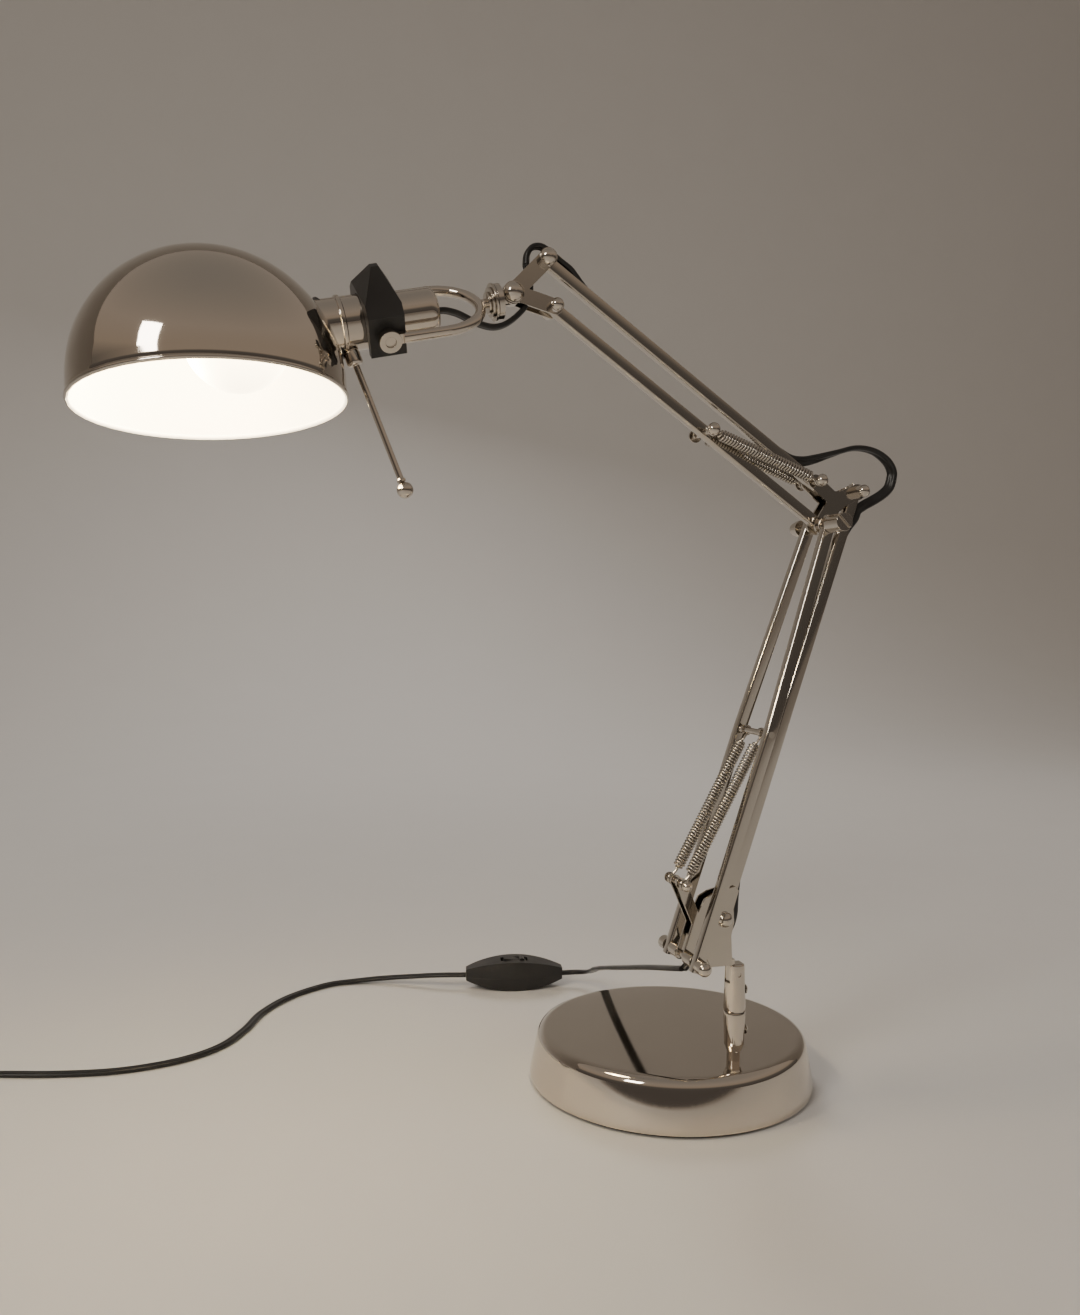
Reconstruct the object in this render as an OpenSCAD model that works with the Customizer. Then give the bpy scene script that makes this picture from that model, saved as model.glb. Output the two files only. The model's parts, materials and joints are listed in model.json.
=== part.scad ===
// Swing arm desk lamp: round weighted base, two spring-balanced parallelogram arms,
// a rod yoke with a plastic clamp, and a dome shade with its lampholder.
// Origin at the centre of the base's underside, +Z up. The arms lie in a plane
// parallel to XZ and reach towards -X.

/* [Base] */
// Outside diameter of the base
base_d = 150; // [130:1:170]
// Height of the base, pad included
base_h = 26.8; // [22:0.1:32]
// Thickness of the foam pad under the base
pad_t = 1.5; // [1:0.1:3]
// Thickness of the cast disc inside the base
weight_h = 12.5; // [8:0.5:18]
// Sheet thickness of the base shell
shell_t = 1.2; // [0.8:0.1:2]
// Radius of the base's shoulder
shoulder_r = 4; // [2:0.5:8]

/* [Post] */
// Distance of the post from the base's centre along X
post_x = 13; // [0:1:25]
// Distance of the arm plane behind the base's centre along Y
arm_y = -50; // [-55:1:-35]
// Largest radius of the post, at its seam
post_r = 5.5; // [4.5:0.1:7]
// Height of the seam where the post turns
seam_z = 51.5; // [45:0.5:58]
// Height of the post's top
post_top = 75; // [70:0.5:78]

/* [Lower arm] */
// Foot pivot of the front bars, as X and Z
foot = [-14.5, 81];
// From the foot pivot to the elbow screw, as X and Z
lower_arm = [70, 211.5];
// From the foot pivot to the rear bar's pivot, as X and Z
rear_offset = [19.7, 17.2];
// Half the distance between the front bars at the foot
foot_half = 16; // [15:0.5:20]
// Half the distance between the front bars at the elbow
elbow_half = 9.5; // [9:0.5:12]
// Place of the crossbar along the front bars, as a share of their length
cross_at = 0.515; // [0.45:0.01:0.6]

/* [Upper arm] */
// From the elbow's upper pivot to the head's upper pivot, as X and Z
upper_arm = [-139.8, 95.7];
// From the lower to the upper pivot of each bracket, as X and Z
link_offset = [-4.2, 21.4];
// Place of the spring post along the lower link, as a share of its length
spring_at = 0.448; // [0.4:0.01:0.6]

/* [Bars] */
// Width of a bar, across the arm plane
bar_w = 5; // [4:0.1:6]
// Depth of a bar, in the arm plane
bar_d = 5.4; // [4.5:0.1:6.5]
// Sheet thickness of the bars
bar_t = 0.8; // [0.6:0.1:1]
// Radius of the pivot pins
pin_r = 1.6; // [1.4:0.1:1.8]
// Radial running clearance of a pin in a bar
fit = 0.05; // [0.02:0.01:0.08]

/* [Head] */
// Centre of the tilting knuckle, as X and Z
knuckle = [-104, 393];
// Centre of the clamp's screws, as X and Z
clamp_at = [-165, 376.5];
// Rise of the lampholder's axis from level, in degrees
holder_rise = 13; // [0:1:30]
// Turn of the yoke about its stem, in degrees
yoke_turn = 40; // [0:1:60]
// Half width of the yoke between its leg centres
yoke_half = 20; // [19:0.5:22]
// Radius of the yoke rod
yoke_r = 2.4; // [2:0.1:3]

/* [Shade] */
// Outside diameter of the shade
shade_d = 115; // [105:1:125]
// Height of the straight skirt below the dome
skirt_h = 7.5; // [4:0.5:12]
// Centre of the shade's rim
rim_at = [-236, -50, 335];
// Sheet thickness of the shade
shade_t = 0.6; // [0.5:0.1:1]

/* [Cord] */
// Width of the flat twin cord
cord_w = 5.2; // [4.5:0.1:6]
// Thickness of the flat twin cord
cord_t = 2.8; // [2.4:0.1:3.2]

/* [Hidden] */
$fn = 64;

// Pivot places in the arm plane, worked out from the arms
elbow = foot + lower_arm;
rear_foot = foot + rear_offset;
rear_elbow = elbow + rear_offset;
elbow_top = elbow + link_offset;
head_top = elbow_top + upper_arm;
head_low = head_top - link_offset;
crossbar = foot + cross_at * lower_arm;
spring_post_at = elbow + spring_at * upper_arm;
anchor = [-18, 117.3];

// Lateral places, measured from the arm plane
plate_in = bar_w / 2 + 0.5;
plate_t = 1.2;
plate_out = plate_in + plate_t;
spring_y = 7.5;
spring_r = 3;
bar_end = 3.8;

// Colours
nickel = [0.78, 0.76, 0.72];
steel = [0.62, 0.62, 0.62];
black = [0.06, 0.06, 0.06];
white = [0.95, 0.93, 0.88];

// Cord routes, flat lead lying on the surface or hanging free
lead_rise = cord_t / 2;
switch_c = [-43, 163.7];
switch_turn = 169;
switch_half = 32;
lead_route = [[-14.7, -47, 73.8], [-15, -38, 71], [-14, 0, 60], [-11, 45, 46], [-7, 85, 33.5],
              [-2, 115, 23.5], [3, 136, 15.6], [2.5, 148, 11], [-3, 155.6, 9], [-11.6, 157.6, 8.6]];
run_route = [[-74.4, 169.8, 8.6], [-91, 176, 7.8], [-108, 185, 5.6], [-127, 193, 3.4], [-146, 196.5, 1.8],
             [-164, 194, 1.4], [-189, 176, 1.4], [-207, 151, 1.4], [-218, 124, 1.4], [-232, 101, 1.4],
             [-254, 86, 1.4], [-284, 80, 1.4], [-316, 84, 1.4], [-346, 92, 1.4], [-376, 98.5, 1.4],
             [-408, 100, 1.4]];
coil_c = [-408, 138];
coil_out = 40.7;
coil_in = 22;
tail_route = [[-446, 138, 4.2], [-446, 152, 3.6], [-446, 166, 1.8], [-444, 180, 2.4], [-442, 192, 5]];
plug_c = [-441, 197.5, 6.9];
bracket_route = [[11.8, 106.2], [11.6, 100], [10.4, 94], [7, 88.6], [1, 85.2], [-6.5, 81], [-12, 76.8], [-14.5, 74.4]];
loop_far = [97, 317];
loop_lower = [[75.6, 297.1], [77.2, 300.8], [81, 303.6], [86, 306.2], [91.4, 309.4], [95.4, 313], loop_far];
loop_upper = [loop_far, [97.2, 321.6], [93.6, 327], [85.6, 331.4], [75, 332.2], [63, 328.8], [53.5, 324.2],
              [47.4, 322.2]];
head_route = [[-76.2, 406.3], [-81, 409.9], [-86, 413.8], [-90.6, 416], [-94.6, 415.2], [-97, 411.6],
              [-97.4, 407]];
yoke_route = [[-139, 382.5], [-134.5, 383], [-129, 382], [-123.5, 379.8], [-118, 378], [-112.5, 377.4],
              [-107.5, 378.9], [-102.6, 382.4], [-98.2, 387.2], [-95.6, 393], [-95.6, 400], [-97.3, 406.3]];

// --- helpers -------------------------------------------------------------

// Sets children drawn in XY upright in the arm plane, t thick from y0 on
module upright(y0, t) {
    translate([0, arm_y + y0 + t, 0]) rotate([90, 0, 0]) linear_extrude(t) children();
}

// Round bar across the arm plane at p, from y0 to y1
module across(p, r, y0, y1) {
    translate([p[0], arm_y + y0, p[1]]) rotate([-90, 0, 0]) cylinder(r = r, h = y1 - y0);
}

// Domed end: a short barrel with a rounded face, from y0 outwards to y1
module domed(p, r, y0, y1) {
    side = y1 > y0 ? 1 : -1;
    len = abs(y1 - y0);
    translate([p[0], arm_y + y0, p[1]]) rotate([-90 * side, 0, 0]) rotate_extrude()
        intersection() {
            union() {
                square([r, len - r * 0.7]);
                translate([0, len - r]) circle(r);
            }
            square([r, len]);
        }
}

// Flat strip with round ends from p to q
module strip(p, q, w) {
    v = q - p;
    translate(p) circle(d = w);
    translate(q) circle(d = w);
    translate(p) rotate(atan2(v[1], v[0])) translate([0, -w / 2 + 0.08]) square([norm(v), w - 0.16]);
}

// Frame at p with local X along v in the arm plane
module along(p, v, y = 0) {
    translate([p[0], arm_y + y, p[1]]) rotate([0, -atan2(v[1], v[0]), 0]) children();
}

// Channel of length len from a to b along local X, open on the +Z or -Z side
module channel(a, b, open) {
    difference() {
        translate([a, -bar_w / 2, -bar_d / 2]) cube([b - a, bar_w, bar_d]);
        translate([a - 1, -bar_w / 2 + bar_t, -bar_d / 2 + (open > 0 ? bar_t : -1)])
            cube([b - a + 2, bar_w - 2 * bar_t, bar_d - bar_t + 1]);
    }
}

// Frame whose Z runs along the lampholder's axis towards the elbow, X stands up
module holder_frame(turn = 0) {
    translate([clamp_at[0], arm_y, clamp_at[1]]) rotate([0, 90 - holder_rise, 0])
        rotate([0, 0, turn]) rotate([0, 0, 180]) children();
}

// Ring of a flat cord around c with tangent t, its width kept along w
function unit(v) = v / norm(v);
function cord_ring(c, t, w) =
    let (u = unit(t), side = unit(w - (w * u) * u), lift = cross(u, side))
    [for (k = [0 : 7]) c + side * cord_w / 2 * cos(k * 45 + 22.5) / cos(22.5)
                         + lift * cord_t / 2 * sin(k * 45 + 22.5) / cos(22.5)];

// Points of a smooth curve through the route, n to each stretch
function curve_at(r, i, s) =
    let (a = r[max(i - 1, 0)], b = r[i], c = r[i + 1], d = r[min(i + 2, len(r) - 1)])
    0.5 * (2 * b + (c - a) * s + (2 * a - 5 * b + 4 * c - d) * s * s
           + (3 * b - a - 3 * c + d) * s * s * s);
function curve(r, n) =
    [for (i = [0 : len(r) - 2], k = [0 : n - 1]) curve_at(r, i, k / n), r[len(r) - 1]];

// Flat cord swept along a route, as one closed solid
module flat_cord(route, w, n = 1) {
    pts = curve(route, n);
    m = len(pts);
    rings = [for (i = [0 : m - 1])
        cord_ring(pts[i], pts[min(i + 1, m - 1)] - pts[max(i - 1, 0)], is_num(w[0]) ? w : w[i])];
    polyhedron([for (r = rings, p = r) p],
               concat([[for (k = [0 : 7]) k]],
                      [for (i = [0 : m - 2], k = [0 : 7])
                          [i * 8 + k, (i + 1) * 8 + k, (i + 1) * 8 + (k + 1) % 8, i * 8 + (k + 1) % 8]],
                      [[for (k = [7 : -1 : 0]) (m - 1) * 8 + k]]));
}

// --- base ----------------------------------------------------------------

module base_outline(inset) {
    r = base_d / 2 - inset;
    top = base_h - inset;
    corner = max(shoulder_r - inset, 0.5);
    lean = 3.6;
    hull_r = r - lean - corner;
    polygon([[0, pad_t], [r, pad_t], [r - lean, top - corner], [hull_r, top - corner],
             [hull_r, top], [0, top]]);
    translate([hull_r, top - corner]) circle(corner);
}

module base_shell() {
    color(nickel) difference() {
        rotate_extrude($fn = 128) difference() {
            base_outline(0);
            base_outline(shell_t);
            square([base_d / 2 - shell_t, pad_t + 1]);
        }
        translate([post_x, arm_y, base_h - 5]) cylinder(r = 3, h = 10);
    }
}

// Cast disc with a boss that the post's stud is clamped through
module base_weight() {
    color(steel) translate([0, 0, pad_t]) difference() {
        union() {
            cylinder(d = base_d - 12, h = weight_h, $fn = 128);
            translate([post_x, arm_y, 0]) cylinder(r = 9, h = base_h - shell_t - pad_t);
        }
        translate([post_x, arm_y, -1]) cylinder(r = 3, h = base_h);
        translate([post_x, arm_y, -1]) cylinder(r = 7.5, h = 11);
    }
}

module base_pad() {
    color(black) difference() {
        cylinder(d = base_d - 5, h = pad_t, $fn = 128);
        translate([post_x, arm_y, -1]) cylinder(r = 8, h = pad_t + 2);
    }
}

module post_nut() {
    color(steel) translate([post_x, arm_y, pad_t + 5.5]) difference() {
        cylinder(r = 5.5, h = 4.5, $fn = 6);
        translate([0, 0, -1]) cylinder(r = 3, h = 7);
    }
}

// --- post ----------------------------------------------------------------

// Fixed half: a threaded stud through the base, a thin neck and a barrel
module post_lower() {
    color(nickel) translate([post_x, arm_y, 0]) difference() {
        union() {
            translate([0, 0, pad_t + 5.5]) cylinder(r = 3, h = base_h - pad_t - 5.5);
            translate([0, 0, base_h]) cylinder(r = 3.6, h = 6.7);
            rotate_extrude() polygon([[0, base_h + 5], [3.8, base_h + 5], [post_r - 0.6, base_h + 8],
                                      [post_r, seam_z - 1], [post_r - 0.3, seam_z - 0.2],
                                      [0, seam_z - 0.2]]);
        }
        translate([0, 0, seam_z - 10]) cylinder(r = 2.5, h = 11);
        translate([0, 0, 41.8]) rotate([0, 90, 0]) cylinder(r = 1.4, h = 10);
        translate([1.8, -6, base_h]) cube([5, 12, 5]);
    }
}

module swivel_pin() {
    color(steel) translate([post_x, arm_y, seam_z - 10]) difference() {
        cylinder(r = 2.5, h = 24);
        translate([0, 0, 18.9]) difference() {
            cylinder(r = 4, h = 2.8);
            translate([0, 0, -1]) cylinder(r = 2, h = 5);
        }
    }
}

// Domed screw that holds the swivel pin
module post_lower_screw() {
    color(nickel) translate([post_x, arm_y, 41.8]) rotate([0, 90, 0]) {
        translate([0, 0, 2.5]) cylinder(r = 1.4, h = 3.2);
        translate([0, 0, post_r]) intersection() {
            cylinder(r = 2.6, h = 2);
            translate([0, 0, -1.6]) sphere(r = 3.3);
        }
    }
}

// Turning half: a barrel with a slot for the foot bracket
module post_upper() {
    color(nickel) translate([post_x, arm_y, 0]) difference() {
        rotate_extrude() polygon([[0, seam_z + 0.1], [post_r - 0.3, seam_z + 0.1], [post_r, seam_z + 1],
                                  [post_r - 0.7, post_top - 0.6], [post_r - 1.2, post_top], [0, post_top]]);
        translate([0, 0, seam_z - 1]) cylinder(r = 2.5 + fit, h = 15.2);
        translate([-8, -plate_in, post_top - 9]) cube([16, 2 * plate_in, 10]);
        translate([0, -10, 70.5]) rotate([-90, 0, 0]) cylinder(r = 1.2, h = 20);
        translate([0, 0, 61.8]) rotate([0, 90, 0]) cylinder(r = 1.1, h = 10);
    }
}

module post_upper_screw() {
    color(nickel) translate([post_x, arm_y, 61.8]) rotate([0, 90, 0]) {
        translate([0, 0, 2.3]) cylinder(r = 1.1, h = 3.3);
        translate([0, 0, post_r - 0.2]) intersection() {
            cylinder(r = 2.4, h = 2);
            translate([0, 0, -1.4]) sphere(r = 3);
        }
    }
    color(nickel) across([post_x, 70.5], 1.2, -4.4, 4.4);
}

// --- foot bracket (turns with the upper post) ----------------------------

module foot_outline() {
    knee = [-9.3, 97];
    strip(foot, knee, 5.5);
    strip(knee, anchor, 5.5);
    polygon([knee + [-2, 1], knee + [3.5, 12], [-1, 111.5], [10.6, 114.4], [12.6, 112.2], [9.8, 103.3],
             [10.3, 96.6], [8.8, 90], [9.6, post_top + 0.3], [-2, post_top + 0.3], knee + [-1, -5]]);
}

module foot_bracket() {
    color(nickel) difference() {
        union() {
            upright(-plate_out, plate_t) foot_outline();
            upright(plate_in, plate_t) foot_outline();
        }
        across(foot, pin_r, -10, 10);
        across(anchor, pin_r, -10, 10);
        across(rear_foot, pin_r, -10, 10);
    }
}

// Tongue between the plates that drops into the post's slot
module bracket_spacer() {
    color(steel) difference() {
        union() {
            translate([post_x - 3.6, arm_y - plate_in, post_top - 8.8]) cube([7.2, 2 * plate_in, 9]);
            translate([0.5, arm_y - plate_in, post_top + 0.3]) cube([9, 2 * plate_in, 6]);
            translate([post_x - 3.6, arm_y - plate_in, post_top - 1]) cube([2, 2 * plate_in, 4]);
        }
        across([post_x, 70.5], 1.2, -10, 10);
    }
}

// Rod through the foot of the front bars, with spacer sleeves
module foot_rod() {
    color(nickel) {
        across(foot, pin_r, -foot_half - 6, foot_half + 6);
        for (side = [-1, 1]) difference() {
            across(foot, 3.2, side > 0 ? plate_out : -foot_half + bar_w / 2 + 0.3,
                              side > 0 ? foot_half - bar_w / 2 - 0.3 : -plate_out);
            across(foot, pin_r, -foot_half, foot_half);
        }
    }
}

// Domed nuts at both ends of the foot rod
module foot_rod_nuts() {
    color(nickel) for (side = [-1, 1]) difference() {
        domed(foot, 3.4, side * (foot_half + bar_w / 2 + 0.3), side * (foot_half + 11));
        across(foot, pin_r, -foot_half - 6, foot_half + 6);
    }
}

module rear_pin() {
    color(nickel) {
        across(rear_foot, pin_r, -plate_out, plate_out);
        for (side = [-1, 1]) domed(rear_foot, 4, side * plate_out, side * (plate_out + 3.4));
    }
}

module spring_anchor() {
    color(nickel) {
        across(anchor, pin_r, -spring_y - 3.4, spring_y + 3.4);
        for (side = [-1, 1]) domed(anchor, 2.6, side * (spring_y + 3), side * (spring_y + 5.5));
    }
}

// Cord from the rear bar, behind its pivot and out under the foot rod
module bracket_cord() plane_cord(bracket_route);

// --- lower arm -----------------------------------------------------------

module front_bar(side) {
    len = norm(lower_arm);
    knee = cross_at * len;
    swing = atan((foot_half - elbow_half) / (len - knee));
    color(nickel) difference() {
        along(foot, lower_arm) {
            translate([0, side * foot_half, 0]) channel(-bar_end, knee + 0.2, -1);
            translate([knee, side * foot_half, 0]) rotate([0, 0, -side * swing])
                channel(-0.2, (len - knee) / cos(swing) + bar_end, -1);
        }
        across(foot, pin_r + fit, -30, 30);
        across(elbow, 2 + fit, -30, 30);
        across(crossbar, pin_r, -30, 30);
    }
}

module front_bar_near() front_bar(-1);

module front_bar_far() front_bar(1);

module front_crossbar() {
    color(nickel) {
        across(crossbar, pin_r, -foot_half - bar_w / 2, foot_half + bar_w / 2);
        for (y = [-spring_y - 3, spring_y + 1]) difference() {
            across(crossbar, 2.4, y, y + 2);
            across(crossbar, pin_r, -foot_half, foot_half);
        }
    }
}

// Close-wound spring body between two pins, with a straight shank to each
module spring_body(p, q, y, clear) {
    len = norm(q - p);
    color(steel) along(p, q - p, y) rotate([0, 90, 0]) {
        translate([0, 0, clear]) cylinder(r = spring_r, h = len - 2 * clear);
        translate([0, 0, pin_r + 0.1]) cylinder(r = 0.5, h = len - 2 * pin_r - 0.2);
    }
}

module lower_springs() for (side = [-1, 1]) spring_body(crossbar, anchor, side * spring_y, 6);

// Rear bar of the lower parallelogram, open at the back, with the cord inside
module rear_bar() {
    len = norm(lower_arm);
    color(nickel) difference() {
        along(rear_foot, lower_arm) channel(-bar_end, len + bar_end, -1);
        across(rear_foot, pin_r + fit, -10, 10);
        across(rear_elbow, pin_r + fit, -10, 10);
    }
}

// Cord on edge inside a bar, from a to b along it, between z0 and z1
module bar_cord(p, v, a, b, z0, z1) {
    color(black) along(p, v) translate([a, -cord_t / 2, z0]) cube([b - a, cord_t, z1 - z0]);
}

module rear_bar_cord() bar_cord(rear_foot, lower_arm, 10.6, norm(lower_arm) - 12, -2.9, 1.9);

// Flat cord in the arm plane along a route of X and Z
module plane_cord(route) {
    color(black) flat_cord([for (p = route) [p[0], arm_y, p[1]]], [0, 1, 0]);
}

// --- elbow ---------------------------------------------------------------

module elbow_outline() {
    heart = elbow + [7.5, 12];
    translate(heart) circle(5.2);
    for (a = [[elbow, 8.6], [elbow_top, 7.2], [rear_elbow, 8]]) {
        v = a[0] - heart;
        translate(a[0]) circle(d = a[1]);
        translate(heart) rotate(atan2(v[1], v[0])) translate([0, -a[1] / 2 + 0.1]) square([norm(v), a[1] - 0.2]);
    }
}

module elbow_bracket() {
    color(nickel) difference() {
        union() {
            upright(-plate_out, plate_t) elbow_outline();
            upright(plate_in, plate_t) elbow_outline();
        }
        across(elbow, 2, -10, 10);
        across(elbow_top, pin_r, -10, 10);
        across(rear_elbow, pin_r, -10, 10);
    }
}

// Long clamping screw with a tall slotted head on the near side
module elbow_screw() {
    head = elbow_half + bar_w / 2 + 0.7;
    color(nickel) {
        across(elbow, 2, -head - 1, head + 8);
        difference() {
            across(elbow, 4.4, -head - 12, -head);
            translate([elbow[0], arm_y - head - 11.5, elbow[1]]) rotate([0, 45, 0])
                cube([12, 2, 1.2], center = true);
        }
    }
}

module elbow_nut() {
    start = elbow_half + bar_w / 2 + 3.6;
    color(nickel) difference() {
        union() {
            across(elbow, 4.2, start, start + 3);
            domed(elbow, 3.4, start + 3, start + 9.5);
        }
        across(elbow, 2, 0, start + 4.6);
    }
}

module elbow_spacers() {
    color(steel) for (side = [-1, 1]) difference() {
        across(elbow, 3.4, side > 0 ? plate_out : -elbow_half + bar_w / 2 + 0.5,
                           side > 0 ? elbow_half - bar_w / 2 - 0.5 : -plate_out);
        across(elbow, 2, -12, 12);
    }
}

// Rear bar's pivot and the upper pivot, which also carries the springs
module elbow_pins() {
    color(nickel) {
        across(rear_elbow, pin_r, -plate_out, plate_out);
        for (side = [-1, 1]) domed(rear_elbow, 3.1, side * plate_out, side * (plate_out + 8));
        across(elbow_top, pin_r, -spring_y - 3, spring_y + 3);
        for (side = [-1, 1]) domed(elbow_top, 3, side * (spring_y + 2.6), side * (spring_y + 5.6));
    }
}

// Slack loop of cord behind the elbow, in two halves that meet at its far side
module elbow_cord_lower() plane_cord(loop_lower);

module elbow_cord_upper() plane_cord(loop_upper);

// --- upper arm -----------------------------------------------------------

module upper_bar() {
    len = norm(upper_arm);
    color(nickel) difference() {
        along(head_top, -upper_arm) channel(-bar_end, len + bar_end, 1);
        across(head_top, pin_r + fit, -10, 10);
        across(elbow_top, pin_r + fit, -10, 10);
    }
}

module upper_bar_cord() bar_cord(head_top, -upper_arm, 12, norm(upper_arm) - 8, -1.9, 2.6);

module lower_link() {
    len = norm(upper_arm);
    color(nickel) difference() {
        union() {
            along(head_low, -upper_arm) channel(-bar_end, len + bar_end, 1);
            across(spring_post_at, 3.2, -bar_w / 2, bar_w / 2);
        }
        across(head_low, pin_r + fit, -10, 10);
        across(elbow, 2 + fit, -10, 10);
        across(spring_post_at, pin_r, -10, 10);
    }
}

// Cross pin on the lower link that the upper springs hook on to
module spring_post() {
    color(nickel) {
        across(spring_post_at, pin_r, -spring_y - 3, spring_y + 3);
        for (side = [-1, 1]) domed(spring_post_at, 3.2, side * (spring_y + 2.8), side * (spring_y + 6));
    }
}

module upper_springs() for (side = [-1, 1]) spring_body(spring_post_at, elbow_top, side * spring_y, 4.5);

// --- head bracket --------------------------------------------------------

module head_outline() {
    strip(knuckle, head_top, 8);
    strip(knuckle, head_low, 7.5);
}

module head_bracket() {
    color(nickel) difference() {
        union() {
            upright(-plate_out, plate_t) head_outline();
            upright(plate_in, plate_t) head_outline();
        }
        across(knuckle, pin_r, -10, 10);
        across(head_top, pin_r, -10, 10);
        across(head_low, pin_r, -10, 10);
    }
}

module head_pins() {
    color(nickel) for (p = [[head_top, 4.1], [head_low, 3.1]]) {
        across(p[0], pin_r, -plate_out, plate_out);
        for (side = [-1, 1]) domed(p[0], p[1], side * plate_out, side * (plate_out + 6));
    }
}

// Cord over the head's upper pivot, from the bar down between the plates
module head_cord() plane_cord(head_route);

// --- knuckle and yoke ----------------------------------------------------

stem_z = 62.6;
ring_rise = 27;
module knuckle_block() {
    color(nickel) difference() {
        union() {
            across(knuckle, 5, -plate_in + 0.3, plate_in - 0.3);
            holder_frame() translate([0, 0, stem_z - 8.2]) cylinder(r = 8.2, h = 2.6);
            holder_frame() translate([0, 0, stem_z - 5.7]) cylinder(r1 = 7.6, r2 = 6.6, h = 0.5);
            holder_frame() translate([0, 0, stem_z - 7]) cylinder(r = 2.6, h = 7);
        }
        across(knuckle, pin_r + fit, -10, 10);
        holder_frame() translate([0, 0, stem_z - 9]) cylinder(r = 1.2 + fit, h = 7);
    }
}

module knuckle_screw() {
    color(nickel) {
        across(knuckle, pin_r, -plate_out, plate_out);
        domed(knuckle, 5, -plate_out, -plate_out - 4);
        domed(knuckle, 3.6, plate_out, plate_out + 3);
    }
}

// Bent rod loop with an eye at each leg and a stem that turns in the knuckle
module yoke() {
    bend = stem_z - 16 - yoke_half;
    eye_in = 17.6;
    color(nickel) holder_frame(yoke_turn) difference() {
        union() {
            for (side = [-1, 1]) {
                translate([0, side * yoke_half, 6.2]) cylinder(r = yoke_r - 0.05, h = bend - 5.7);
                translate([0, side * eye_in, 0]) rotate([-90 * side, 0, 0]) cylinder(r = 4.2, h = 3);
                translate([-2.2, side > 0 ? eye_in : -eye_in - 3, 0]) cube([4.4, 3, 8]);
            }
            translate([0, 0, bend]) rotate([0, 90, 0]) rotate([0, 0, 90])
                rotate_extrude(angle = 180) translate([yoke_half, 0]) circle(yoke_r);
            translate([0, 0, stem_z - 16]) cylinder(r = 2.2, h = 3.8);
            translate([0, 0, stem_z - 14]) cylinder(r = 1.2, h = 10);
        }
        for (side = [-1, 1]) rotate([-90 * side, 0, 0]) cylinder(r = 1.8, h = 21.5);
    }
}

module stem_washers() {
    color(nickel) holder_frame(yoke_turn) difference() {
        union() {
            translate([0, 0, stem_z - 12.2]) cylinder(r = 5, h = 1.25);
            translate([0, 0, stem_z - 10.95]) cylinder(r = 6.9, h = 1.25);
            translate([0, 0, stem_z - 9.7]) cylinder(r = 8.6, h = 1.2);
        }
        translate([0, 0, stem_z - 13]) cylinder(r = 1.2, h = 8);
    }
}

// Cord from the cap, under the knuckle and up between the head bracket's plates
module yoke_cord() plane_cord(yoke_route);

// --- clamp, lampholder and shade -----------------------------------------

// Section of the clamp across the lampholder: a saddle with a peaked top
module clamp_section() {
    difference() {
        polygon([[25, -1.5], [25, 1.5], [9, 17], [-9, 17], [-9, 13.4], [-4, 12.4], [-4, -12.4], [-9, -13.4],
                 [-9, -17], [9, -17]]);
        circle(r = 12.2);
        translate([-10, -9]) square([10, 18]);
    }
}

module clamp() {
    color(black) holder_frame(yoke_turn) difference() {
        translate([0, 0, -8]) linear_extrude(16) clamp_section();
        for (side = [-1, 1]) {
            translate([13, 0, side * 8]) rotate([0, side * 28, 0])
                translate([0, -20, side > 0 ? 0 : -8]) cube([24, 40, 8]);
            rotate([-90 * side, 0, 0]) cylinder(r = 1.75, h = 20);
        }
    }
}

// Shouldered screws that join the yoke's eyes to the clamp
module clamp_screws() {
    color(steel) holder_frame(yoke_turn) for (side = [-1, 1]) rotate([-90 * side, 0, 0]) difference() {
        union() {
            translate([0, 0, 13]) cylinder(r = 1.75, h = 8);
            translate([0, 0, 20.8]) cylinder(r = 5, h = 1.8);
        }
        translate([0, 0, 21.6]) cylinder(r = 2.4, h = 2);
    }
}

module holder_sleeve() {
    color(nickel) holder_frame() difference() {
        union() {
            translate([0, 0, -27]) cylinder(r = 12, h = 35.5);
            translate([0, 0, -17.9]) cylinder(r = 12.8, h = 2);
        }
        translate([0, 0, -28]) cylinder(r = 11.2, h = 38);
        rotate([0, 0, -6]) translate([-11.4, 0, -15.5]) rotate([0, -82, 0]) translate([0, 0, -4]) cylinder(r = 1.4, h = 10);
    }
}

module holder_cap() {
    color(nickel) holder_frame() difference() {
        rotate_extrude() difference() {
            union() {
                translate([0, 9]) square([10.6, 13.6]);
                translate([0, 9]) square([6.6, 17.6]);
                translate([6.6, 22.6]) circle(4);
                square([11.1, 9]);
            }
            square([10.2, 9.5]);
            translate([0, 9.5]) square([9.6, 13]);
        }
        translate([0, 0, 20]) cylinder(r = 2.9, h = 8);
    }
}

// Moulded lamp socket inside the sleeve, with its screw shell
module lamp_socket() {
    color(white) holder_frame() difference() {
        translate([0, 0, -29]) cylinder(r = 9.6, h = 30);
        translate([0, 0, -30]) cylinder(r = 7.2, h = 27);
    }
}

module shade_frame() {
    translate(rim_at) rotate([-6.3, -3.4, 0]) children();
}

module shade() {
    r = shade_d / 2;
    color(nickel) difference() {
        shade_frame() rotate_extrude($fn = 128) {
            difference() {
                union() {
                    square([r, skirt_h]);
                    intersection() {
                        translate([0, skirt_h]) circle(r, $fn = 128);
                        translate([0, skirt_h]) square([r, r]);
                    }
                }
                translate([-1, -1]) square([r + 1 - shade_t, skirt_h + 1]);
                translate([0, skirt_h]) circle(r - shade_t, $fn = 128);
            }
            translate([r - 0.6, 0.6]) circle(1.1);
        }
        holder_frame() translate([0, 0, -60]) cylinder(r = 12.05, h = 80);
    }
}

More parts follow.
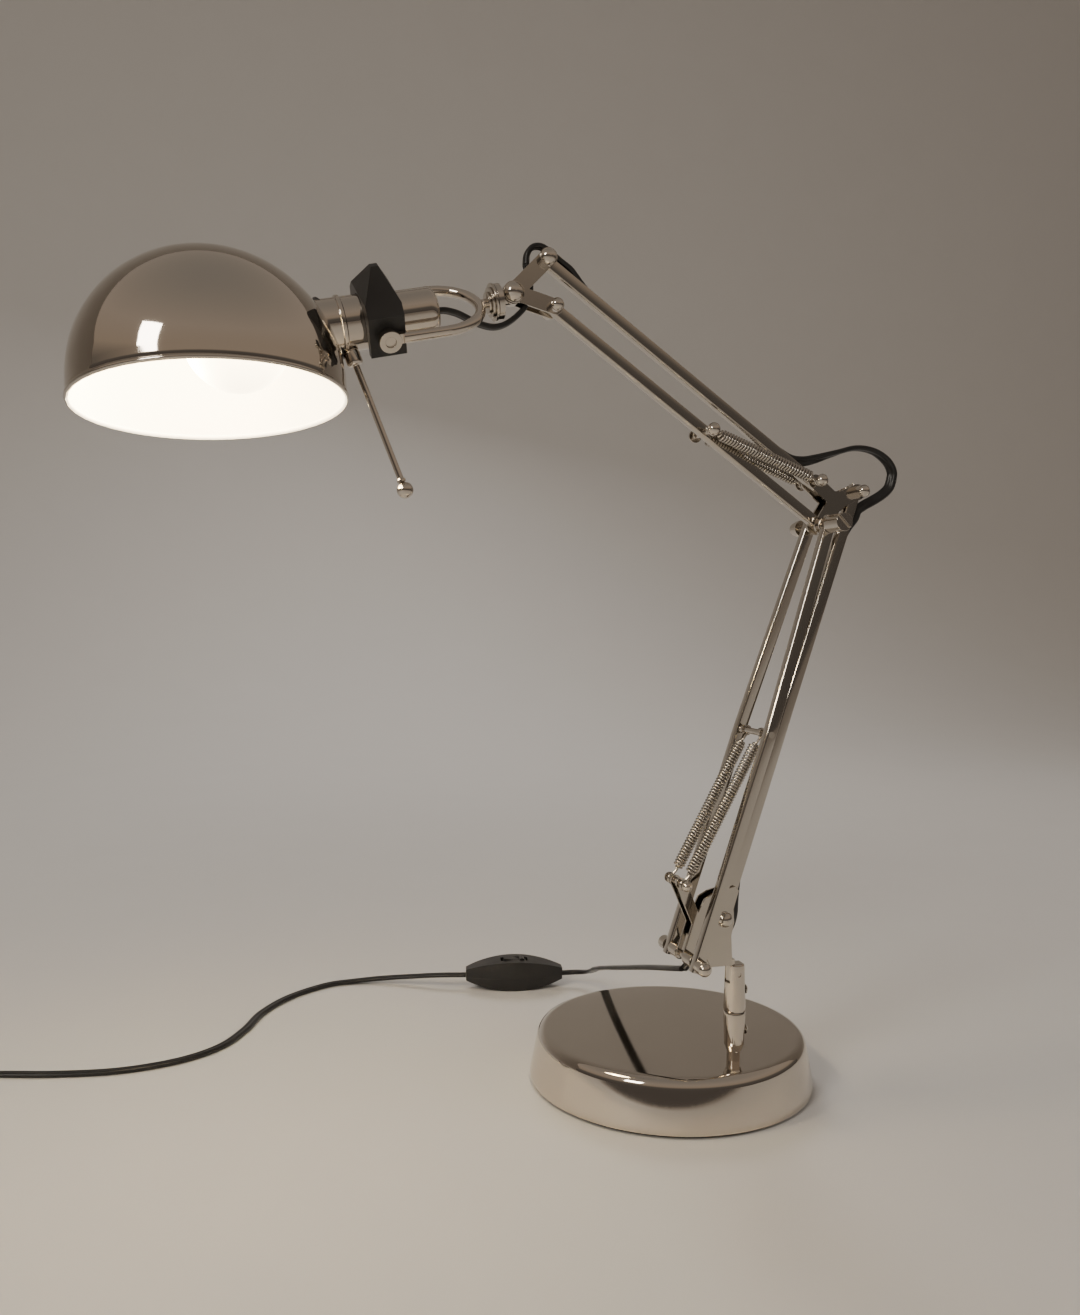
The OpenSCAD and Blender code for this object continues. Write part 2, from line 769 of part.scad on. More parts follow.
// Thin dark washer between the shade and the sleeve's flange, square to the shade
module shade_ring() {
    color(black) difference() {
        shade_frame() translate([0, 0, skirt_h]) rotate([0, 90 - ring_rise, 0])
            translate([0, 0, shade_d / 2 - 1.2]) cylinder(r = 14.4, h = 2.2);
        shade_frame() translate([0, 0, skirt_h]) sphere(r = shade_d / 2, $fn = 128);
        holder_frame() translate([0, 0, -60]) cylinder(r = 12.05, h = 80);
        holder_frame() translate([0, 0, -18.3]) cylinder(r = 13.2, h = 30);
        holder_frame(-6) translate([-11.4, 0, -15.5]) rotate([0, -82, 0]) cylinder(r = 4, h = 12);
    }
}

// Blown globe with its screw cap
module bulb() {
    color(white) holder_frame() union() {
        translate([0, 0, -33]) cylinder(r = 6.6, h = 27);
        translate([0, 0, -45]) cylinder(r1 = 13.9, r2 = 6.6, h = 12);
        difference() {
            translate([0, 0, -62]) sphere(r = 22.5);
            translate([0, 0, -62]) sphere(r = 21.5);
        }
    }
}

// Thin rod with a ball, screwed into the sleeve, that turns and aims the shade
module aiming_stick() {
    color(nickel) holder_frame(-6) translate([-11.4, 0, -15.5]) rotate([0, -82, 0]) {
        cylinder(r = 1.4, h = 64);
        translate([0, 0, 1.2]) cylinder(r = 3.6, h = 6);
        translate([0, 0, 66]) sphere(r = 3.7);
        translate([0, 0, 61]) cylinder(r = 2, h = 3);
    }
}

// --- free cord, switch and plug ------------------------------------------

module switch_frame() {
    translate([switch_c[0], switch_c[1], 0]) rotate(switch_turn) children();
}

// Outline of the switch from above and from the side
module switch_body(z0, z1) {
    intersection() {
        translate([-switch_half, -30, z0]) cube([2 * switch_half, 60, z1 - z0]);
        translate([0, 74, -2]) cylinder(r = 84, h = 40, $fn = 128);
        translate([0, -74, -2]) cylinder(r = 84, h = 40, $fn = 128);
        translate([0, 30, -71]) rotate([90, 0, 0]) cylinder(r = 90, h = 60, $fn = 128);
        translate([0, 30, 90]) rotate([90, 0, 0]) cylinder(r = 90, h = 60, $fn = 128);
    }
}

module switch_bottom() {
    color(black) switch_frame() difference() {
        switch_body(0, 8);
        translate([-22, -6, 2.5]) cube([44, 12, 10]);
    }
}

module switch_top() {
    color(black) switch_frame() difference() {
        switch_body(8, 20);
        translate([-9, -3.8, 7]) cube([18, 7.6, 20]);
        translate([-22, -6, 7]) cube([44, 12, 6]);
        translate([0, 5, 15]) rotate([90, 0, 0]) cylinder(r = 1.2 + fit, h = 10);
    }
}

// Rocker on two stub axles, resting tipped to one side
module switch_rocker() {
    color(black) switch_frame() translate([0, 0, 15]) rotate([0, -8, 0]) {
        translate([-7.5, -3.4, -1.5]) cube([15, 6.8, 5.4]);
        translate([-4.6, 3.4, 3.9]) rotate([90, 0, 0]) cylinder(r = 1.7, h = 6.8);
        translate([0, 4.8, 0]) rotate([90, 0, 0]) cylinder(r = 1.2, h = 9.6);
    }
}

module cord_lead() {
    color(black) flat_cord(lead_route, [for (i = [0 : 9]) i < 1 ? [0, 1, 0.3] : i < 6 ? [-1, 0, 0.1] : [-0.6, -0.8, 0]]);
}

module cord_run() {
    color(black) flat_cord(run_route, [for (i = [0 : 15]) [0.2, 1, 0]]);
}

module cord_coil() {
    color(black) translate([coil_c[0], coil_c[1], 0]) rotate_extrude($fn = 96)
        translate([coil_in, 0]) square([coil_out - coil_in, 2 * cord_t]);
}

module cord_tail() {
    color(black) flat_cord(tail_route, [1, 0, 0]);
}

module plug_frame() {
    translate(plug_c) rotate([0, 0, 86]) children();
}

module plug_body() {
    color(black) plug_frame() {
        translate([-5.5, 0, 0]) rotate([0, 90, 0]) cylinder(r = 3.4, h = 15);
        translate([8, -8, -6.5]) cube([9.5, 16, 13]);
        translate([17, -12.7, -6.9]) cube([16, 25.4, 13.8]);
    }
}

module plug_pins() {
    color(nickel) plug_frame() for (side = [-1, 1])
        translate([33, side * 9.3, 0]) rotate([0, 90, 0]) cylinder(r = 2, h = 19);
}

base_shell();
base_weight();
base_pad();
post_nut();
post_lower();
swivel_pin();
post_lower_screw();
switch_bottom();
switch_top();
switch_rocker();
cord_lead();
cord_run();
cord_coil();
cord_tail();
plug_body();
plug_pins();
post_upper();
post_upper_screw();
foot_bracket();
bracket_spacer();
foot_rod();
foot_rod_nuts();
rear_pin();
spring_anchor();
bracket_cord();
front_bar_near();
front_bar_far();
front_crossbar();
lower_springs();
rear_bar();
rear_bar_cord();
elbow_bracket();
elbow_screw();
elbow_nut();
elbow_spacers();
elbow_pins();
elbow_cord_lower();
elbow_cord_upper();
upper_bar();
upper_bar_cord();
lower_link();
spring_post();
upper_springs();
head_bracket();
head_pins();
head_cord();
knuckle_block();
knuckle_screw();
yoke();
stem_washers();
yoke_cord();
clamp();
clamp_screws();
holder_sleeve();
holder_cap();
lamp_socket();
shade_ring();
shade();
bulb();
aiming_stick();
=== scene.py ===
# Swing arm desk lamp: plated arms and base, a rod yoke, a dome shade and a flat twin cord.
import json
import math
import bmesh
import bpy
import numpy as np
from mathutils import Matrix, Vector


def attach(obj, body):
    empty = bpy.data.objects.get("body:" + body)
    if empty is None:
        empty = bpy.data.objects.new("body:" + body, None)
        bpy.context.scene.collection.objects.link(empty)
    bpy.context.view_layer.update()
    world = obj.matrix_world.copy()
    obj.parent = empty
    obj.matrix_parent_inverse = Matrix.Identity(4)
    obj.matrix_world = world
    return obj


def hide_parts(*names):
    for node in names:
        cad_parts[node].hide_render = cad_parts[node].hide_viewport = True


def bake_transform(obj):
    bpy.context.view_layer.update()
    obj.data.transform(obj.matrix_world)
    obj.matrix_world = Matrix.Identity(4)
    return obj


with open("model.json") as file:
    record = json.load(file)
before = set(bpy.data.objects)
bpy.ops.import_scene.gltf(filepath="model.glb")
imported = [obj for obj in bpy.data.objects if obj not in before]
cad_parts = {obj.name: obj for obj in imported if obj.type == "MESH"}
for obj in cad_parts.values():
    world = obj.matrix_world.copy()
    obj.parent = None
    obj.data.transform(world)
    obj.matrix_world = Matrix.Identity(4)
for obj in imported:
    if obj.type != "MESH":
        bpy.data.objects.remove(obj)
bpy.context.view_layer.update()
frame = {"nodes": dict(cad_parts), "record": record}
nodes = frame["nodes"]
mm = 0.001
armY = -50.0  # the middle plane of both arms
bodyOf = {n: b for b, members in frame["record"]["behaviour"]["bodies"].items() for n in members}
slotOf = {s["node"]: s["material_slot"] for s in frame["record"]["subparts"]}
print("frame loaded:", len(nodes), "nodes")


# A vector divided by its length
def unit(v):
    v = np.asarray(v, float)
    return v / np.linalg.norm(v, axis=-1, keepdims=True)


# Points in millimetres and their faces as one object: points closer than the gap merged, normals turned outwards
def addMesh(name, verts, faces, smoothAngle=35, recalc=True, gap=2e-6):
    mesh = bpy.data.meshes.new(name)
    mesh.from_pydata(np.asarray(verts, float) * mm, [], faces)
    piece = bpy.data.objects.new(name, mesh)
    bpy.context.scene.collection.objects.link(piece)
    bm = bmesh.new()
    bm.from_mesh(mesh)
    bmesh.ops.remove_doubles(bm, verts=bm.verts, dist=gap)
    if recalc:
        bmesh.ops.recalc_face_normals(bm, faces=bm.faces)
    bm.to_mesh(mesh)
    bm.free()
    smoothen(mesh, smoothAngle)
    return piece


# Smooth shading, with edges sharper than the angle in degrees kept crisp
def smoothen(mesh, angle):
    mesh.polygons.foreach_set("use_smooth", np.ones(len(mesh.polygons), bool))
    mesh.set_sharp_from_angle(angle=math.radians(angle))
    mesh.update()


# A grid of points p[i, j] becomes quads between neighbours: corner i * m + j with the next row and the next column;
# closed joins the last one to the first, caps fill the end rings
def gridFaces(n, m, closedI=False, closedJ=True, caps=False):
    i = np.arange(n if closedI else n - 1)[:, None]
    j = np.arange(m if closedJ else m - 1)[None, :]
    a, b = i * m + j, i * m + (j + 1) % m
    c, d = (i + 1) % n * m + (j + 1) % m, (i + 1) % n * m + j
    faces = np.stack([a, d, c, b], -1).reshape(-1, 4).tolist()
    if caps:
        faces += [np.arange(m).tolist(), (np.arange(m)[::-1] + (n - 1) * m).tolist()]
    return faces


# A profile of (radius, height) turned about an axis: place + axis * height + radius * (cos a * u + sin a * v)
def spun(name, profile, place, axis, steps=96, closed=False, smoothAngle=35):
    profile = np.asarray(profile, float)
    w = unit(axis)
    u = unit(np.cross(w, [0.3, 1, 0.2]))
    v = np.cross(w, u)
    a = np.linspace(0, 2 * np.pi, steps, endpoint=False)
    ring = np.cos(a)[:, None] * u + np.sin(a)[:, None] * v
    p = np.asarray(place, float) + profile[:, None, 1:] * w + profile[:, None, :1] * ring[None]
    return addMesh(name, p.reshape(-1, 3), gridFaces(len(profile), steps, closedI=closed), smoothAngle)


# Corners of a polyline turned into arcs: corner c becomes (1-t)^2 a + 2t(1-t) c + t^2 b, with a and b on its two legs
def filleted(points, radius, n=5, loop=True):
    p = np.asarray(points, float)
    r = np.broadcast_to(np.asarray(radius, float), (len(p),)).copy()
    if not loop:
        r[[0, -1]] = 0
    before, after = np.roll(p, 1, 0), np.roll(p, -1, 0)
    la, lb = np.linalg.norm(before - p, axis=1), np.linalg.norm(after - p, axis=1)
    a = p + (before - p) / la[:, None] * np.minimum(r, la / 2)[:, None]
    b = p + (after - p) / lb[:, None] * np.minimum(r, lb / 2)[:, None]
    t = np.linspace(0, 1, n)[None, :, None]
    out = (1 - t) ** 2 * a[:, None] + 2 * t * (1 - t) * p[:, None] + t ** 2 * b[:, None]
    out = out.reshape(-1, p.shape[1])
    keep = np.r_[True, np.linalg.norm(np.diff(out, axis=0), axis=1) > 1e-6]
    return out[keep]


# A smooth path through the points: a cubic between each pair, steered by its two neighbours, then spaced evenly
def smoothPath(points, step, perSpan=24):
    p = np.asarray(points, float)
    pad = np.vstack([2 * p[0] - p[1], p, 2 * p[-1] - p[-2]])
    s = np.linspace(0, 1, perSpan, endpoint=False)[None, :, None]
    a, b, c, d = (pad[k:len(pad) - 3 + k, None] for k in range(4))
    fine = 0.5 * (2 * b + (c - a) * s + (2 * a - 5 * b + 4 * c - d) * s ** 2 + (3 * b - a - 3 * c + d) * s ** 3)
    return evenly(np.vstack([fine.reshape(-1, p.shape[1]), p[-1:]]), step)


# The same path with its points at equal distances along it, about one step apart
def evenly(path, step):
    run = np.r_[0, np.cumsum(np.linalg.norm(np.diff(path, axis=0), axis=1))]
    at = np.linspace(0, run[-1], max(3, int(round(run[-1] / step)) + 1))
    return np.stack([np.interp(at, run, path[:, k]) for k in range(path.shape[1])], 1)


# The sum of the distances between neighbouring points
def pathLength(path):
    return float(np.linalg.norm(np.diff(path, axis=0), axis=1).sum())


# A section (x, y) carried along a path: path + side * x + lift * y, where side is the width direction squared to the
# path's tangent and lift is tangent x side
def swept(name, path, section, width, smoothAngle=35):
    path, section = np.asarray(path, float), np.asarray(section, float)
    t = unit(np.gradient(path, axis=0))
    w = np.broadcast_to(np.asarray(width, float), path.shape)
    side = unit(w - (w * t).sum(1, keepdims=True) * t)
    lift = np.cross(t, side)
    p = path[:, None] + side[:, None] * section[None, :, :1] + lift[:, None] * section[None, :, 1:]
    return addMesh(name, p.reshape(-1, 3), gridFaces(len(path), len(section), caps=True), smoothAngle)


# Points radius * (cos a, sin a)
def circle(radius, n):
    a = np.linspace(0, 2 * np.pi, n, endpoint=False)
    return np.stack([np.cos(a), np.sin(a)], 1) * radius


easing = {"segments": 3, "angle": 32, "gap": 1e-5, "flat": 0.4}


# A finer copy of a CAD node: doubles merged, flat faces joined, then a small bevel on its sharp edges
def eased(node, width):
    mesh = nodes[node].data.copy()
    mesh.name = node + "Eased"
    piece = bpy.data.objects.new(node + "Eased", mesh)
    bpy.context.scene.collection.objects.link(piece)
    bm = bmesh.new()
    bm.from_mesh(mesh)
    bmesh.ops.remove_doubles(bm, verts=bm.verts, dist=easing["gap"])
    bmesh.ops.dissolve_limit(bm, angle_limit=math.radians(easing["flat"]), verts=bm.verts, edges=bm.edges)
    bm.to_mesh(mesh)
    bm.free()
    mesh.materials.clear()
    smoothen(mesh, easing["angle"])
    bevel = piece.modifiers.new("easedEdges", "BEVEL")
    bevel.width, bevel.segments = width * mm, easing["segments"]
    bevel.limit_method, bevel.angle_limit = "ANGLE", math.radians(easing["angle"])
    bevel.harden_normals = True
    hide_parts(node)
    return piece


# A piece's materials, the body that it rides and the nodes that it stands for
def settle(piece, material, body=None, stands=()):
    for m in material if isinstance(material, (list, tuple)) else [material]:
        piece.data.materials.append(m)
    if body:
        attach(piece, body)
    if stands:
        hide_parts(*stands)
    return piece


class Wire:
    # one output socket; sums and products of wires and numbers add Math nodes
    def __init__(self, book, socket):
        self.book, self.socket = book, socket

    def maths(self, operation, first, second):
        return self.book.node("Math", {"operation": operation}, first, second)

    def __add__(self, other): return self.maths("ADD", self, other)
    def __radd__(self, other): return self.maths("ADD", other, self)
    def __mul__(self, other): return self.maths("MULTIPLY", self, other)
    def __rmul__(self, other): return self.maths("MULTIPLY", other, self)


class Recipe:
    # the node tree of one material or world, and the one method that adds its nodes
    def __init__(self, owner, shader="Principled BSDF", space="Object"):
        owner.use_nodes = True
        self.owner, self.tree = owner, owner.node_tree
        self.shader = self.tree.nodes[shader]
        self.place = self.node("TexCoord", {}, out=space)

    def put(self, socket, value):
        if isinstance(value, Wire):
            self.tree.links.new(value.socket, socket)
        elif socket.type == "RGBA" and len(value) == 3:
            socket.default_value = (*value, 1)
        else:
            socket.default_value = value

    # settings come first, then sockets: in order, by number (at) or by name
    def node(self, kind, settings, *values, out=0, at=None, **named):
        n = self.tree.nodes.new("ShaderNode" + kind)
        for key, value in settings.items():
            if key == "stops":
                ramp = n.color_ramp.elements
                while len(ramp) < len(value):
                    ramp.new(0.5)
                for stop, (spot, colour) in zip(ramp, value):
                    stop.position, stop.color = spot, (*colour, 1)
            else:
                setattr(n, key, value)
        for key, value in {**dict(enumerate(values)), **(at or {}), **named}.items():
            self.put(n.inputs[key], value)
        return Wire(self, n.outputs[out])

    def noise(self, scale, detail, rough, stretch=None):
        where = self.node("Mapping", {}, Vector=self.place, Scale=stretch) if stretch else self.place
        return self.node("TexNoise", {}, Vector=where, Scale=scale, Detail=detail, Roughness=rough)

    def band(self, wire, low, high, to=(0, 1)):
        return self.node("MapRange", {"clamp": True}, wire, low, high, to[0], to[1])

    def blend(self, share, first, second):
        return self.node("Mix", {"data_type": "RGBA"}, out=2, at={0: share, 6: first, 7: second})

    def bumped(self, height, strength, distance):
        return self.node("Bump", {}, Strength=strength, Distance=distance, Height=height)

    def finish(self, **sockets):
        for key, value in sockets.items():
            self.put(self.shader.inputs[key.replace("_", " ")], value)
        return self.owner


viewpoint = {"place": (-0.23402, -0.54693, 0.24198), "yaw": 16.265, "pitch": 1.698, "roll": 0.473, "lens": 30.41,
             "sensor": 36, "near": 0.02, "far": 20}


# Turned right by the yaw, tipped down by the pitch, then leaned by the roll
def addCamera():
    v = viewpoint
    data = bpy.data.cameras.new("deskView")
    data.lens, data.sensor_width = v["lens"], v["sensor"]
    data.clip_start, data.clip_end = v["near"], v["far"]
    cam = bpy.data.objects.new("deskView", data)
    bpy.context.scene.collection.objects.link(cam)
    turn = Matrix.Rotation(-math.radians(v["yaw"]), 4, "Z")
    tip = Matrix.Rotation(math.radians(90 - v["pitch"]), 4, "X")
    lean = Matrix.Rotation(math.radians(v["roll"]), 4, "Z")
    cam.matrix_world = Matrix.Translation(v["place"]) @ turn @ tip @ lean
    bpy.context.scene.camera = cam


addCamera()

plates = {
    "mirrorNickel": {"tint": (0.66, 0.605, 0.535), "rough": (0.035, 0.06), "grain": 0.02},
    "barNickel": {"tint": (0.58, 0.54, 0.48), "rough": (0.06, 0.10), "grain": 0.03},
    "fastenerNickel": {"tint": (0.64, 0.595, 0.53), "rough": (0.08, 0.14), "grain": 0.03},
    "baseTopNickel": {"tint": (0.66, 0.605, 0.535), "rough": (0.07, 0.10), "grain": 0.02},
    "springWire": {"tint": (0.55, 0.52, 0.47), "rough": (0.12, 0.2), "grain": 0.03},
}


# Nickel plate: a slow haze in its gloss and tone, and fine hairlines that bend its reflections a little
def plating(name):
    plate = plates[name]
    r = Recipe(bpy.data.materials.new(name))
    cloud = r.noise(22, 3, 0.5)
    hair = r.noise(900, 2, 0.5, (1, 1, 0.15))
    rough = r.band(cloud, 0.3, 0.7, plate["rough"]) + hair * 0.01
    tone = r.blend(r.band(cloud, 0.3, 0.75), plate["tint"], tuple(c * 0.95 for c in plate["tint"]))
    return r.finish(Base_Color=tone, Metallic=1.0, Roughness=rough, Normal=r.bumped(hair, plate["grain"], 0.0002))


mirrorPlate, barPlate, smallPlate, topPlate, springWire = (plating(name) for name in plates)

mouldings = {
    "blackMoulding": {"colour": (0.016, 0.0155, 0.015), "rough": (0.3, 0.42), "scale": 1500, "depth": 0.00006},
    "cordPvc": {"colour": (0.012, 0.012, 0.012), "rough": (0.28, 0.4), "scale": 700, "depth": 0.00004},
    "socketWhite": {"colour": (0.80, 0.78, 0.72), "rough": (0.3, 0.4), "scale": 900, "depth": 0.00003},
    "padFoam": {"colour": (0.02, 0.02, 0.02), "rough": (0.8, 0.95), "scale": 900, "depth": 0.0002},
}


# Moulded plastic: a fine pebble, and a slow change of gloss and tone
def moulding(name):
    m = mouldings[name]
    r = Recipe(bpy.data.materials.new(name))
    pebble = r.noise(m["scale"], 2, 0.6)
    slow = r.noise(60, 3, 0.5)
    tone = r.blend(r.band(slow, 0.35, 0.7), m["colour"], tuple(c * 1.35 + 0.002 for c in m["colour"]))
    return r.finish(Base_Color=tone, Roughness=r.band(slow, 0.3, 0.7, m["rough"]),
                    Normal=r.bumped(pebble, 0.35, m["depth"]))


blackMould, cordSkin, socketWhite, padFoam = (moulding(name) for name in mouldings)

ironLook = {"dark": (0.10, 0.095, 0.09), "light": (0.17, 0.16, 0.15), "rough": (0.5, 0.7)}
# the enamel's glow and power are painted light: the inside of the shade glows as if lit by the bulb
enamelPaintedGlowLook = {"colour": (0.93, 0.90, 0.82), "rough": (0.4, 0.5), "glow": (1.0, 0.86, 0.62), "power": 2.6}
opalLook = {"colour": (1, 0.96, 0.88), "rough": (0.3, 0.38), "glow": (1.0, 0.82, 0.52), "power": 9.0}


# Rough grey casting: one lumpy noise drives tone, gloss and bump
def castIron():
    r = Recipe(bpy.data.materials.new("castIron"))
    lump = r.noise(240, 4, 0.6)
    return r.finish(Base_Color=r.blend(lump, ironLook["dark"], ironLook["light"]), Metallic=0.7,
                    Roughness=r.band(lump, 0.3, 0.7, ironLook["rough"]), Normal=r.bumped(lump, 0.6, 0.0003))


# White stove enamel inside the shade, slightly orange-peeled, with a painted glow: its emission is painted light
# standing in for the bulb's light on it
def shadeEnamel():
    r = Recipe(bpy.data.materials.new("shadeEnamel"))
    peel = r.noise(420, 2, 0.5)
    return r.finish(Base_Color=enamelPaintedGlowLook["colour"], Roughness=r.band(peel, 0.3, 0.7, enamelPaintedGlowLook["rough"]),
                    Normal=r.bumped(peel, 0.2, 0.0001),
                    Emission_Color=enamelPaintedGlowLook["glow"], Emission_Strength=enamelPaintedGlowLook["power"])


# Frosted bulb glass that glows
def opalGlass():
    r = Recipe(bpy.data.materials.new("opalGlass"))
    frost = r.noise(700, 2, 0.5)
    return r.finish(Base_Color=opalLook["colour"], Roughness=r.band(frost, 0.3, 0.7, opalLook["rough"]),
                    Emission_Color=opalLook["glow"], Emission_Strength=opalLook["power"])


iron, enamel, opal = castIron(), shadeEnamel(), opalGlass()
print("finishes made")

twin = {"width": 5.2, "thick": 2.8, "groove": 0.30, "grooveWidth": 0.62, "square": 0.62, "steps": 28}


# Two cores side by side: x = cos a, y = sin a to the power "square", less a dip along the middle of each face
def twinSection():
    a = np.linspace(0, 2 * np.pi, twin["steps"], endpoint=False)
    x = twin["width"] / 2 * np.cos(a)
    y = twin["thick"] / 2 * np.sign(np.sin(a)) * np.abs(np.sin(a)) ** twin["square"]
    return np.stack([x, y * (1 - twin["groove"] * np.exp(-(x / twin["grooveWidth"]) ** 2))], 1)


freeCord = {
    "lead": [(-14.5, -50, 74.4), (-15, -38, 71), (-14, 0, 60), (-11, 45, 46), (-7, 85, 33.5), (-2, 115, 23.5),
             (3, 136, 15.6), (2.5, 148, 11), (-3, 155.6, 9), (-11.6, 157.6, 8.6)],
    "run": [(-74.4, 169.8, 8.6), (-91, 176, 7.8), (-108, 185, 5.6), (-127, 193, 3.4), (-146, 196.5, 1.8),
            (-164, 194, 1.4), (-189, 176, 1.4), (-207, 151, 1.4), (-218, 124, 1.4), (-232, 101, 1.4),
            (-254, 86, 1.4), (-284, 80, 1.4), (-316, 84, 1.4), (-346, 92, 1.4), (-376, 98.5, 1.4), (-408, 100, 1.4)],
    "coilCentre": (-408, 138), "coilOuter": 38.0, "pitch": 5.3, "bottomTurns": 2.5, "hop": 0.3, "topTurns": 2.45,
    "tail": [(-446, 152, 3.6), (-446, 166, 1.8), (-444, 180, 2.4), (-442, 192, 5)],
}


# Centre + r * (cos a, sin a), clockwise from the near side: in along the lower layer, up, and out along the upper one
def coilPath():
    c = freeCord
    down, hop = c["bottomTurns"], c["hop"]
    t = np.linspace(0, down + hop + c["topTurns"], 200)
    inner = c["coilOuter"] - c["pitch"] * down
    r = np.where(t < down, c["coilOuter"] - c["pitch"] * t, inner + c["pitch"] * np.clip(t - down - hop, 0, None))
    climb = np.clip((t - down) / hop, 0, 1)
    z = twin["thick"] / 2 + twin["thick"] * climb * climb * (3 - 2 * climb)
    a = -np.pi / 2 - 2 * np.pi * t
    return np.stack([c["coilCentre"][0] + r * np.cos(a), c["coilCentre"][1] + r * np.sin(a), z], 1)


# The level direction across a path: its tangent turned a quarter about the upright
def levelAcross(path):
    return np.stack([-np.gradient(path[:, 1]), np.gradient(path[:, 0]), np.zeros(len(path))], 1)


# The lead to the switch, then the run, the coil and the tail to the plug as one cord
def layFreeCord():
    c = freeCord
    lead = smoothPath(c["lead"], 2.5)
    first = swept("cordLead", lead, twinSection(), levelAcross(lead), smoothAngle=60)
    settle(first, cordSkin, None, ("cord_lead",))
    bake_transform(first)
    body = np.vstack([smoothPath(c["run"], 2.5)[:-1], coilPath()[:-1]])
    whole = smoothPath(np.vstack([evenly(body, 4.0), c["tail"]]), 2.0)
    second = swept("cordRun", whole, twinSection(), levelAcross(whole), smoothAngle=60)
    settle(second, cordSkin, "base", ("cord_run", "cord_coil", "cord_tail"))
    print("cord lengths:", round(pathLength(lead)), round(pathLength(whole)))
    return first, lead, second, whole


leadPiece, leadPath, runPiece, runPath = layFreeCord()

# Held cords as (x, z) in the arm's plane; turn is the share of a quarter turn along each, 0 flat and 1 on edge
heldCords = {
    "bracketCord": {
        "path": [(12.8, 118.9), (12.2, 112.2), (11.8, 106.2), (11.6, 100), (10.4, 94), (7, 88.6), (1, 85.2),
                 (-6.5, 81), (-12, 76.8), (-14.5, 74.4)],
        "bodies": ("turret", "rear_arm"), "start": (4, 90), "end": (11.8, 104), "node": "bracket_cord",
        "turn": (1, 0.8, 0.2, 0)},
    "elbowCordLow": {
        "path": [(68.3, 286.7), (71.8, 292.4), (75.6, 297.1), (77.2, 300.8), (81, 303.6), (86, 306.2), (91.4, 309.4),
                 (95.4, 313), (97, 317)],
        "bodies": ("rear_arm", "elbow"), "start": (76.5, 300), "end": (97, 313), "node": "elbow_cord_lower",
        "turn": (1, 0.8, 0.5)},
    "elbowCordHigh": {
        "path": [(97, 317), (97.2, 321.6), (93.6, 327), (85.6, 331.4), (75, 332.2), (63, 328.8), (53.5, 325.8),
                 (46, 324.2), (39, 324.8), (32, 328.3)],
        "bodies": ("elbow", "upper_arm"), "start": (95, 322), "end": (52, 325), "node": "elbow_cord_upper",
        "turn": (0.5, 0.1, 0, 0.6, 1)},
    "headCord": {
        "path": [(-68.3, 396.6), (-72.4, 401.2), (-76.2, 406.3), (-81, 409.9), (-86, 413.8), (-90.6, 416),
                 (-94.6, 415.2), (-97, 411.6), (-97.4, 407)],
        "bodies": ("upper_arm", "head"), "start": (-78, 408), "end": (-96, 412), "node": "head_cord",
        "turn": (0.9, 0.25, 0, 0, 0)},
}
yokeCord = {
    "path": [(-139, 382.5), (-134.5, 383), (-129, 382), (-123.5, 379.8), (-118, 378), (-112.5, 377.4),
             (-107.5, 378.9), (-102.6, 382.4), (-98.2, 387.2), (-95.6, 393), (-95.6, 400), (-97.4, 407)],
    "capShare": 0.30, "stemShare": 0.52,
}


# (x, z) points put in the arm's plane
def inPlane(points):
    p = np.asarray(points, float)
    return np.stack([p[:, 0], np.full(len(p), armY), p[:, 1]], 1)


# The flat cord turned about its own run: width = cos a * y + sin a * (tangent x y), a = a quarter turn times the share
def heldCord(name, path, node, turn=(0,)):
    share = np.interp(np.linspace(0, 1, len(path)), np.linspace(0, 1, len(turn)), turn)
    a = (np.pi / 2 * share)[:, None]
    across = np.array([0.0, 1.0, 0.0])
    width = np.cos(a) * across + np.sin(a) * unit(np.cross(unit(np.gradient(path, axis=0)), across))
    piece = swept(name, path, twinSection(), width, smoothAngle=60)
    settle(piece, cordSkin, None, (node,))
    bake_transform(piece)


# The loops over the pivots, and the cap's cord in three parts, one for each joint that it passes
def layHeldCords():
    for name, c in heldCords.items():
        heldCord(name, smoothPath(inPlane(c["path"]), 1.2),
                 c["node"], c["turn"])
    droop = smoothPath(inPlane(yokeCord["path"]), 1.2)
    cap, stem = (int(len(droop) * yokeCord[k]) for k in ("capShare", "stemShare"))
    heldCord("yokeCordCap", droop[:cap + 1], "yoke_cord")
    heldCord("yokeCordStem", droop[cap:stem + 1], "yoke_cord")
    heldCord("yokeCordHead", droop[stem:], "yoke_cord")


layHeldCords()
print("cords laid")

# Pivots as (x, z)
foot, elbow = np.array([-14.5, 81.0]), np.array([55.5, 292.5])
rearFoot, rearElbow = foot + (19.7, 17.2), elbow + (19.7, 17.2)
elbowTop = elbow + (-4.2, 21.4)
headTop, headLow = elbowTop + (-139.8, 95.7), elbow + (-139.8, 95.7)
crossbar = foot + 0.515 * (elbow - foot)
springPost = elbow + 0.448 * (headLow - elbow)
anchor = np.array([-18, 117.3])

bar = {"width": 5.0, "depth": 5.4, "sheet": 0.8, "past": 3.8, "corner": 1.1,
       "bend": 0.515, "lowGap": 16, "topGap": 9.26, "gapEnd": 4}
barCords = {
    "rearBarCord": {"node": "rear_bar_cord", "ends": (rearFoot, rearElbow), "lift": -0.7, "stops": (22, 24),
                    "body": "rear_arm"},
    "upperBarCord": {"node": "upper_bar_cord", "ends": (headTop, elbowTop), "lift": 0.7, "stops": (24, 24),
                     "body": "upper_arm"},
}


